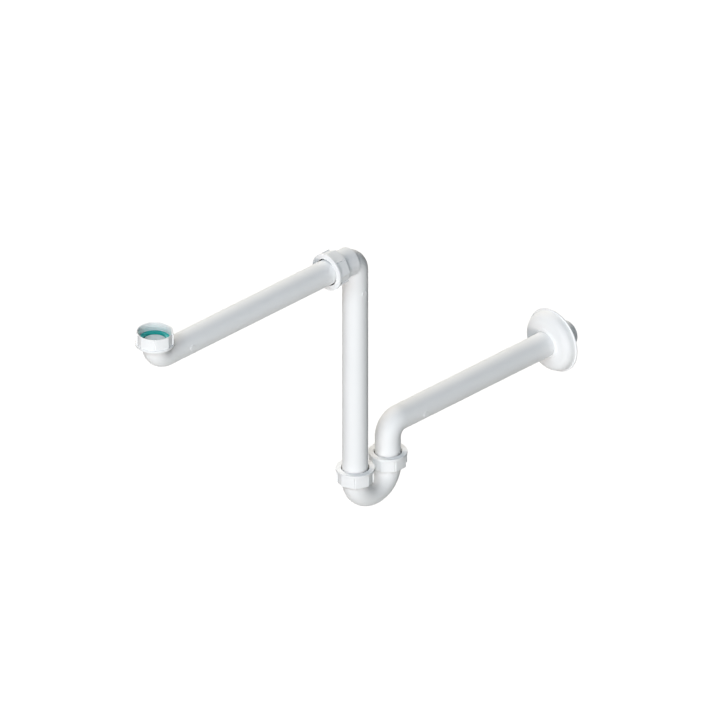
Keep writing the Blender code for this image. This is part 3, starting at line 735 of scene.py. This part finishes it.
# %% A pipe's wall and tip
PIPE_RADIUS = 16.0
BORE_RADIUS = 14.2
TIP = 0.8
# The two end corners only give the roundings their direction, so they are left out again.
PIPE_TIP = rounded([
    (-2.0, PIPE_RADIUS, 0), (0.0, PIPE_RADIUS, 0.6),
    (TIP, PIPE_RADIUS - TIP, 0.25), (TIP, BORE_RADIUS, 0)])[1:-1]
BORE_CHAMFER = 0.2
BORE_START = [(0.0, BORE_RADIUS + BORE_CHAMFER), (BORE_CHAMFER, BORE_RADIUS)]
BORE_END = [(-BORE_CHAMFER, BORE_RADIUS), (0.0, BORE_RADIUS + BORE_CHAMFER)]
print("the wall is %.1f mm thick" % (PIPE_RADIUS - BORE_RADIUS))

# %% The inlet pipe
NECK_TOP_Z = -3.8
FLANGE_RADIUS = 19.6
FLANGE_HEIGHT = 2.3
NECK_HEIGHT = 6.3
INLET_BEND = 18.5
INLET_END = 322.0
neck = rounded([
    (0.0, BORE_RADIUS, 0), (0.0, FLANGE_RADIUS, 0.3), (FLANGE_HEIGHT, FLANGE_RADIUS, 0.3),
    (FLANGE_HEIGHT, PIPE_RADIUS, 0.3), (NECK_HEIGHT, PIPE_RADIUS, 0)])[1:-1]
inlet_elbow = (INLET_BEND, INLET_AXIS_Z + INLET_BEND, INLET_BEND, -90, 0)
inlet_outside = (leg(0, NECK_TOP_Z, -90, neck)
                 + bend(*inlet_elbow, PIPE_RADIUS)
                 + leg(INLET_END - TIP, INLET_AXIS_Z, 0, PIPE_TIP))
inlet_bore = (leg(0, NECK_TOP_Z, -90, BORE_START)
              + bend(*inlet_elbow, BORE_RADIUS)
              + leg(INLET_END, INLET_AXIS_Z, 0, BORE_END))
inlet_pipe = tube("moulded_inlet_pipe", inlet_outside, inlet_bore)
finished(inlet_pipe, PIPE_PLASTIC, "white_polypropylene", "inlet", "inlet_pipe")

# %% The outlet pipe
LEG_END_Z = -337.2
OUTLET_BEND = 19.0
OUTLET_END = 714.9
foot_tip = [(TIP - along, radius) for along, radius in reversed(PIPE_TIP)]
outlet_elbow = (OUTLET_Y + OUTLET_BEND, OUTLET_AXIS_Z - OUTLET_BEND, OUTLET_BEND, 90, 0)
outlet_outside = (leg(OUTLET_Y, LEG_END_Z, 90, foot_tip)
                  + bend(*outlet_elbow, PIPE_RADIUS)
                  + leg(OUTLET_END - TIP, OUTLET_AXIS_Z, 0, PIPE_TIP))
outlet_bore = (leg(OUTLET_Y, LEG_END_Z, 90, BORE_START)
               + bend(*outlet_elbow, BORE_RADIUS)
               + leg(OUTLET_END, OUTLET_AXIS_Z, 0, BORE_END))
outlet_pipe = tube("moulded_outlet_pipe", outlet_outside, outlet_bore)
finished(outlet_pipe, PIPE_PLASTIC, "white_polypropylene", "outlet_pipe", "outlet_pipe")

# %% [markdown]
# ## The sockets
# Where a pipe slides in, the wall widens to a cup with the nut's thread outside, a cone for the
# seal in its mouth and a stop for the pipe at its floor. The thread could be left out, as the
# nuts cover it, but it shows as soon as a nut is unscrewed. It is cut into the cup's own rings.

# %% A socket's measures
SOCKET_MOUTH = 5.8
THREAD_RADIUS = 20.5
SOCKET_MOUTH_RADIUS = 19.8
CONE_DEPTH = 5.5
LIP = 0.3
ELBOW_MOUTH_Y = ELBOW_NUT_Y + SOCKET_MOUTH
CUP_MOUTH_Z = TRAP_NUT_Z - SOCKET_MOUTH
print("sockets open at y = %.1f mm and z = %.1f mm" % (ELBOW_MOUTH_Y, CUP_MOUTH_Z))


# %% Cut the thread into a socket's rings
def threaded_rings(stations, frame_of, length):
    """Rings at the stations, with the thread in those that are as wide as the thread."""
    rings = rings_at(stations)
    for index, (y, z, way, radius) in enumerate(stations):
        if math.isclose(radius, THREAD_RADIUS, abs_tol=0.001):
            rings[index] = threaded(rings[index], frame_of(y), SOCKET_MOUTH, SOCKET_MOUTH + length)
    return rings


print("a socket's thread starts %.1f mm from the nut's face" % SOCKET_MOUTH)

# %% The trap bend's cups
TRAP_RADIUS = 16.4
TRAP_BORE_RADIUS = 14.6
CUP_DEPTH = 11.4
CUP_EDGE = 0.5
TRAP_STOP = 9.6
BEND_START = 11.8
CUP_THREAD_STEPS = 40
cup_mouth = rounded([
    (0.0, SOCKET_MOUTH_RADIUS, 0), (0.0, THREAD_RADIUS, LIP), (CUP_DEPTH, THREAD_RADIUS, 0)])
cup_foot = rounded([
    (0.0, THREAD_RADIUS, 0), (CUP_DEPTH, THREAD_RADIUS, CUP_EDGE), (CUP_DEPTH, TRAP_RADIUS, 0)])
cup_thread = [(along, THREAD_RADIUS)
              for along in np.linspace(LIP, CUP_DEPTH - CUP_EDGE, CUP_THREAD_STEPS + 1)[1:-1]]
cup_wall = cup_mouth[:-1] + cup_thread + cup_foot[1:] + [(BEND_START, TRAP_RADIUS)]
cup_bore = [(0.0, SOCKET_MOUTH_RADIUS), (CONE_DEPTH, SLIDING_RADIUS), (TRAP_STOP, SLIDING_RADIUS),
            (TRAP_STOP, TRAP_BORE_RADIUS), (BEND_START, TRAP_BORE_RADIUS)]
print("a cup has", len(cup_wall), "rings outside and", len(cup_bore), "inside")

# %% The trap bend
TRAP_MIDDLE_Y = (DOWN_PIPE_Y + OUTLET_Y) / 2
BEND_START_Z = CUP_MOUTH_Z - BEND_START
u_bend = (TRAP_MIDDLE_Y, BEND_START_Z, TRAP_MIDDLE_Y - DOWN_PIPE_Y, -90, 90)


def trap_stations(cup, radius):
    """Down through the first cup, round the U and up through the second cup."""
    cup_up = [(BEND_START - along, wide) for along, wide in reversed(cup)]
    return (leg(DOWN_PIPE_Y, CUP_MOUTH_Z, -90, cup) + bend(*u_bend, radius)
            + leg(OUTLET_Y, BEND_START_Z, 90, cup_up))


def trap_joint(y):
    """The joint that a station of the trap belongs to."""
    return TRAP_INLET_JOINT if y < TRAP_MIDDLE_Y else TRAP_OUTLET_JOINT


trap_outside = threaded_rings(trap_stations(cup_wall, TRAP_RADIUS), trap_joint, CUP_DEPTH)
trap_bore = rings_at(trap_stations(cup_bore, TRAP_BORE_RADIUS))
trap_bend = skin("moulded_trap_bend", trap_outside + trap_bore[::-1])
finished(trap_bend, PIPE_PLASTIC, "white_polypropylene", "trap_bend", "trap_bend")

# %% [markdown]
# ## The down pipe
# Its top is the one place where two tubes run into each other: the straight socket sleeve goes on
# past the start of the elbow, so the elbow comes out of its end at a slant. Rings can't follow
# that seam, so the outside is joined from two solids with the Boolean's exact solver, and the
# socket and the bore are cut out of the result.


# %% Join and cut solids
def combine(piece, tool, operation):
    """Apply one exact Boolean and drop the tool."""
    step = piece.modifiers.new(operation, "BOOLEAN")
    step.operation = operation
    step.solver = "EXACT"
    step.object = tool
    settle(piece)
    bpy.data.objects.remove(tool, do_unlink=True)
    print("%-10s %6d faces" % (operation.lower(), len(piece.data.polygons)))


# %% The elbow with the upright leg
ELBOW_BEND = 16.8
# The pipe stops here in the socket. Solids that are joined or cut reach a little past it.
ELBOW_STOP = 26.7
OVERLAP = 1.0
ROD_CORE = 8.0
stop_y = ELBOW_MOUTH_Y + ELBOW_STOP
down_elbow = (DOWN_PIPE_Y - ELBOW_BEND, INLET_AXIS_Z - ELBOW_BEND, ELBOW_BEND, 0, -90)
rod = (leg(stop_y - OVERLAP, INLET_AXIS_Z, 0, [(0.0, PIPE_RADIUS)])
       + bend(*down_elbow, PIPE_RADIUS)
       + leg(DOWN_PIPE_Y, LEG_END_Z + TIP, -90, PIPE_TIP + [(TIP, ROD_CORE)]))
down_pipe = skin("moulded_down_pipe", rings_at(rod), closed=False)
print("the rod has", len(down_pipe.data.polygons), "faces")

# %% The threaded sleeve
SLEEVE_RADIUS = 18.2
SLEEVE_END = 34.4
SLEEVE_CORE = 10.0
SLEEVE_THREAD_START = 0.3
SLEEVE_THREAD_END = 10.2
SLEEVE_CUP_DEPTH = 10.8
SLEEVE_THREAD_STEPS = 36
sleeve_mouth = rounded([
    (0.0, SLEEVE_CORE, 0), (0.0, THREAD_RADIUS, 0.25), (SLEEVE_THREAD_START, THREAD_RADIUS, 0)])
sleeve_thread = [
    (along, THREAD_RADIUS)
    for along in np.linspace(SLEEVE_THREAD_START, SLEEVE_THREAD_END, SLEEVE_THREAD_STEPS + 1)]
sleeve_back = rounded([
    (SLEEVE_THREAD_END, THREAD_RADIUS, 0), (SLEEVE_CUP_DEPTH, THREAD_RADIUS, 0.3),
    (SLEEVE_CUP_DEPTH, SLEEVE_RADIUS, 0.4), (SLEEVE_END, SLEEVE_RADIUS, 0.35),
    (SLEEVE_END, ROD_CORE, 0)])
sleeve_line = sleeve_mouth[:-1] + sleeve_thread + sleeve_back[1:]
sleeve_stations = leg(ELBOW_MOUTH_Y, INLET_AXIS_Z, 0, sleeve_line)
sleeve_rings = threaded_rings(sleeve_stations, lambda y: ELBOW_JOINT, SLEEVE_CUP_DEPTH)
combine(down_pipe, skin("sleeve", sleeve_rings, closed=False), "UNION")

# %% The socket and the bore
socket = leg(ELBOW_MOUTH_Y, INLET_AXIS_Z, 0, [
    (-2 * OVERLAP, SOCKET_MOUTH_RADIUS), (0.0, SOCKET_MOUTH_RADIUS),
    (CONE_DEPTH, SLIDING_RADIUS), (ELBOW_STOP, SLIDING_RADIUS)])
combine(down_pipe, skin("socket", rings_at(socket), closed=False), "DIFFERENCE")
# The cutter starts to widen 0.2 mm inside the pipe's foot, which bevels the bore's edge.
bore_foot = [(-0.2, BORE_RADIUS), (0.3, BORE_RADIUS + 0.5)]
bore = (leg(stop_y - 2 * OVERLAP, INLET_AXIS_Z, 0, [(0.0, BORE_RADIUS)])
        + bend(*down_elbow, BORE_RADIUS)
        + leg(DOWN_PIPE_Y, LEG_END_Z, -90, bore_foot))
combine(down_pipe, skin("bore", rings_at(bore), closed=False), "DIFFERENCE")
weld(down_pipe.data)
finished(down_pipe, PIPE_PLASTIC, "white_polypropylene", "down_pipe", "down_pipe")

# %% [markdown]
# ## The wall rosette
# The cover that hides the hole in the wall is a thin bell with an even wall. Its shape is one
# profile turned about the pipe: a collar that slides on the pipe, a hollow cheek, a broad round
# shoulder, and a flat rim that lies against the tiles.


# %% Arcs in a profile
def arc(centre, reach, first, last, steps):
    """Corners along an arc round a (radius, height) centre, angles in degrees, none rounded."""
    return [(centre[0] + reach * math.cos(angle), centre[1] + reach * math.sin(angle), 0)
            for angle in np.radians(np.linspace(first, last, steps + 1))]


print("a quarter of an arc in 10 steps has", len(arc((0, 0), 1, 0, 90, 10)), "corners")

# %% The bell
ROSETTE_Y = 673.2
ROSETTE_DEPTH = 15.6
ROSETTE_WALL = 1.5
ROSETTE_RIM = 41.5
RIM_FOOT = ROSETTE_DEPTH - ROSETTE_WALL
# Where the rim's flat meets the shoulder outside and inside, as radii.
RIM_INNER_RADIUS = 39.55
SHOULDER_INNER_RADIUS = 38.42
SHOULDER_CENTRE = (28.2, 12.6)
SHOULDER_REACH = 10.6
CHEEK_CENTRE = (20.575, -1.6)
CHEEK_REACH = 3.6
bell_outside = [(ROSETTE_RIM, ROSETTE_DEPTH, 0.3), (ROSETTE_RIM, RIM_FOOT, 0.5),
                (RIM_INNER_RADIUS, RIM_FOOT, 0.8)]
bell_outside += arc(SHOULDER_CENTRE, SHOULDER_REACH, -8, -90, 24)
bell_outside += arc(CHEEK_CENTRE, CHEEK_REACH, 90, 153.6, 10)
bell_inside = [(SLIDING_RADIUS, 0.0, 0), (SLIDING_RADIUS, ROSETTE_WALL, 0)]
bell_inside += arc(CHEEK_CENTRE, CHEEK_REACH + ROSETTE_WALL, 142.6, 90, 10)[:-1]
bell_inside += arc(SHOULDER_CENTRE, SHOULDER_REACH - ROSETTE_WALL, -90, -8, 24)
bell_inside += [(SHOULDER_INNER_RADIUS, ROSETTE_DEPTH, 0)]
rosette = turned("moulded_wall_rosette", rounded(bell_outside + bell_inside),
                 joint_frame(0, ROSETTE_Y, OUTLET_AXIS_Z, FACING_WALL))
finished(rosette, NUT_PLASTIC, "white_polypropylene", "wall_rosette", "wall_rosette")

# %% [markdown]
# ## Where the melt came in
# Every pipe has a round flat spot on its side, where the runner of the mould was cut off. It is
# small, but it is what tells a moulded pipe from an extruded one: the flat catches the light
# evenly while the pipe around it turns away.

# %% Gate marks
GATE_RADIUS = 3.9
GATE_HEIGHT = 0.4
# The mark's foot is sunk into the wall, so it never stands off the round pipe.
GATE_ROOT = -1.0
GATE_PROFILE = rounded([
    (0.0, GATE_ROOT, 0), (GATE_RADIUS, GATE_ROOT, 0),
    (GATE_RADIUS, GATE_HEIGHT, 0.25), (0.0, GATE_HEIGHT, 0)])[1:-1]
for body, y, z in (
    ("inlet", 49.6, -28.1),
    ("down_pipe", DOWN_PIPE_Y, -72.9),
    ("outlet_pipe", 452.8, -286.0),
):
    at = joint_frame(PIPE_RADIUS, y, z, FACING_SIDE)
    gate_rings = [to_world(circle(radius, height), at) for radius, height in GATE_PROFILE]
    mark = skin(body + "_gate_mark", gate_rings, closed=False)
    finished(mark, NUT_PLASTIC, "white_polypropylene", body)

# %% [markdown]
# ## The studio
# A white part on white paper needs light from clear directions, or it melts away. Everything here
# is in metres. Two broad soft lights stand in front, one level and a little warm, one high and
# cool, and draw the faces and the pipes' roundness. A strong one behind and above whitens the
# tops. A weak one overhead reaches into the inlet, and a small one low down lifts the undersides.
# The far sides get little of all this, so the edges there stay grey and hold the outline.

# %% Soft lights
LOOK_AT = Vector((0.0, 0.36, -0.18))
FAR = 12.0
NEAR = 4.0


def softbox(name, towards, distance, size, power, tint):
    """A flat area lamp that looks at the trap from a direction. Its size is width and height."""
    lamp = bpy.data.lights.new(name, "AREA")
    lamp.shape = "RECTANGLE"
    lamp.size, lamp.size_y = size
    lamp.energy = power
    lamp.color = colour(tint)[:3]
    made = bpy.data.objects.new(name, lamp)
    direction = Vector(towards).normalized()
    made.location = LOOK_AT + direction * distance
    made.rotation_euler = direction.to_track_quat("Z", "Y").to_euler()
    made.visible_camera = False
    bpy.context.scene.collection.objects.link(made)
    print("%-16s %6.1f W from (%.2f, %.2f, %.2f)" % (name, power, *direction))


softbox("front_light", (0.48, -0.83, 0.11), FAR, (7.0, 2.6), 680.0, "#FFF5F0")
softbox("high_front_light", (0.36, -0.63, 0.64), FAR, (9.0, 2.8), 700.0, "#EAF6FF")
softbox("back_light", (-0.72, 0.24, 0.62), FAR, (8.0, 3.2), 1080.0, "#FFF8EE")
softbox("top_light", (0.05, -0.40, 0.90), FAR, (3.0, 3.0), 75.0, "#EEF5FF")
softbox("low_fill", (0.80, -0.50, -0.3), NEAR, (2.4, 1.6), 36.0, "#EEFCFF")

# %% [markdown]
# ### Floor and room
# The photograph has no horizon, only white paper. The floor is a pale sheet far below the trap,
# and both the floor and the room shine white only for rays from the camera, or for what a glossy
# or clear surface shows, so that the backdrop adds no light to the plastic.


# %% White for the camera alone
def seen_directly(tree):
    """1 for rays from the camera, and for what shines or shows through, 0 for the rest."""
    path = add_node(tree, "ShaderNodeLightPath")
    first = add_node(tree, "ShaderNodeMath", {"operation": "MAXIMUM"},
                     {0: path.outputs["Is Camera Ray"], 1: path.outputs["Is Glossy Ray"]})
    return add_node(tree, "ShaderNodeMath", {"operation": "MAXIMUM"},
                    {0: first.outputs[0], 1: path.outputs["Is Transmission Ray"]}).outputs[0]


# The grey paper keeps the trap's shadow, and the glow lifts it to white.
PAPER_GLOW = 0.8
paper, tree = new_material("white_paper")
matt = add_node(tree, "ShaderNodeBsdfDiffuse", {"Color": colour("#A0A0A0")})
glow = add_node(tree, "ShaderNodeEmission", {"Strength": PAPER_GLOW})
both = add_node(tree, "ShaderNodeAddShader", links={0: matt.outputs[0], 1: glow.outputs[0]})
choice = add_node(tree, "ShaderNodeMixShader",
                  links={0: seen_directly(tree), 1: matt.outputs[0], 2: both.outputs[0]})
add_node(tree, "ShaderNodeOutputMaterial", links={"Surface": choice.outputs[0]})
print("made", paper.name, "with", len(tree.nodes), "nodes")

# %% The floor
FLOOR_Z = -1.9
FLOOR_REACH = 8.0
floor_corners = [
    (x * FLOOR_REACH, y * FLOOR_REACH, FLOOR_Z)
    for x, y in ((-1, -1), (1, -1), (1, 1), (-1, 1))]
floor_mesh = bpy.data.meshes.new("floor")
floor_mesh.from_pydata(floor_corners, [], [(0, 1, 2, 3)])
floor_mesh.materials.append(paper)
floor = bpy.data.objects.new("floor", floor_mesh)
bpy.context.scene.collection.objects.link(floor)
floor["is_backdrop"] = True
print("floor at", FLOOR_Z, "m,", 2 * FLOOR_REACH, "m wide")

# %% The room
# The lamps alone light the trap, so the room adds nothing to them.
ROOM_LEVEL = 0.0
room = bpy.data.worlds.new("room")
bpy.context.scene.world = room
room.use_nodes = True
tree = room.node_tree
tree.nodes.clear()
dim = add_node(tree, "ShaderNodeBackground", {"Color": colour("#F6F9FF"), "Strength": ROOM_LEVEL})
white = add_node(tree, "ShaderNodeBackground", {"Color": colour("#FFFFFF"), "Strength": 1.0})
pick = add_node(tree, "ShaderNodeMixShader",
                links={0: seen_directly(tree), 1: dim.outputs[0], 2: white.outputs[0]})
add_node(tree, "ShaderNodeOutputWorld", links={"Surface": pick.outputs[0]})
print("room level", ROOM_LEVEL)

# %% [markdown]
# ## The camera
# The picture this model follows has no perspective at all: equal pipes stay equally wide and all
# parallels stay parallel. So the camera is orthographic. It looks down at 30 degrees from a
# corner at 45 degrees, and its scale says how many metres the 720 pixels span.

# %% An orthographic camera
AZIMUTH = math.radians(-45.0)
ELEVATION = math.radians(30.0)
METRES_ACROSS = 0.87939
# Where the picture's middle lies, to the right of the origin and below it, in metres.
MIDDLE_RIGHT = 0.2506
MIDDLE_DOWN = 0.0271
STAND_OFF = 2.0
SEE_UP_TO = 50.0

back = Vector((math.cos(AZIMUTH) * math.cos(ELEVATION), math.sin(AZIMUTH) * math.cos(ELEVATION),
               math.sin(ELEVATION)))
right = Vector((0.0, 0.0, 1.0)).cross(back).normalized()
up = back.cross(right)
camera_data = bpy.data.cameras.new("camera")
camera_data.type = "ORTHO"
camera_data.ortho_scale = METRES_ACROSS
camera_data.clip_end = SEE_UP_TO
camera = bpy.data.objects.new("camera", camera_data)
camera.matrix_world = Matrix((right, up, back)).transposed().to_4x4()
camera.location = right * MIDDLE_RIGHT - up * MIDDLE_DOWN + back * STAND_OFF
bpy.context.scene.collection.objects.link(camera)
bpy.context.scene.camera = camera
bpy.context.scene.view_settings.view_transform = "Standard"
print("camera at", [round(value, 3) for value in camera.location])

# %% The sizes of the CAD model and of the dressed one
dressed_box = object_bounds()
boxes = {
    "cad": [[float(value) for value in corner] for corner in cad_box],
    "dressed": [[float(value) for value in corner] for corner in dressed_box],
}
for name, box in boxes.items():
    print("%-8s" % name, [[round(value, 4) for value in corner] for corner in box])
